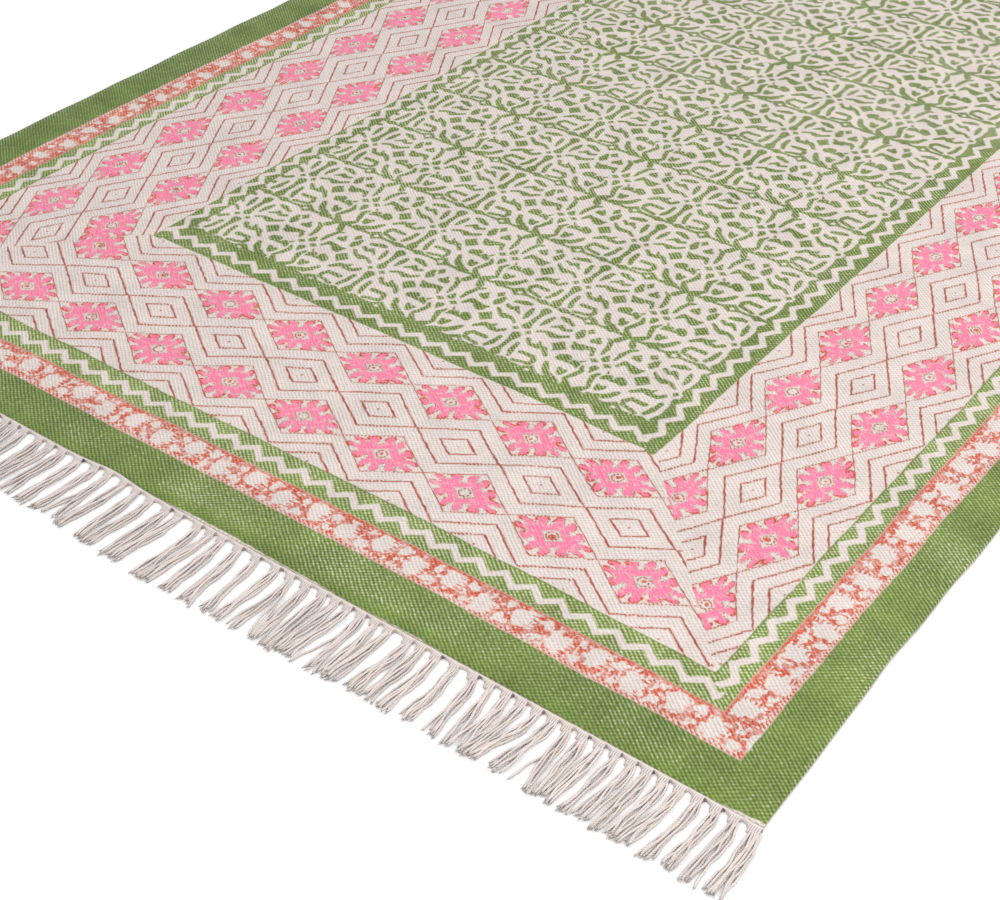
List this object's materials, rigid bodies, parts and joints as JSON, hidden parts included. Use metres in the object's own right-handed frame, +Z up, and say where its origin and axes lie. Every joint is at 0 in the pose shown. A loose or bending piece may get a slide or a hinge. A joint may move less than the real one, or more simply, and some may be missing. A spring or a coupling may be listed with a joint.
{
  "type": "block-printed rug",
  "caption": "Flat woven cotton rug, block-printed with patterned borders round a lattice field, with a yarn fringe on each short end.",
  "frame": {"origin": "bottom centre of the rug's box, on the floor under the middle of the cloth", "axes": "+Y along the rug's length, from one fringed end to the other, +Z up through the printed face"},
  "size_m": [1.222, 1.973, 0.004],
  "materials": {
    "printed_cloth": "matte printed cotton flat weave",
    "fringe_yarn": "matte natural cotton yarn"
  },
  "bodies": {
    "root": {"rug_cloth": "printed_cloth", "fringe_front": "fringe_yarn", "fringe_back": "fringe_yarn"}
  },
  "joints": []
}
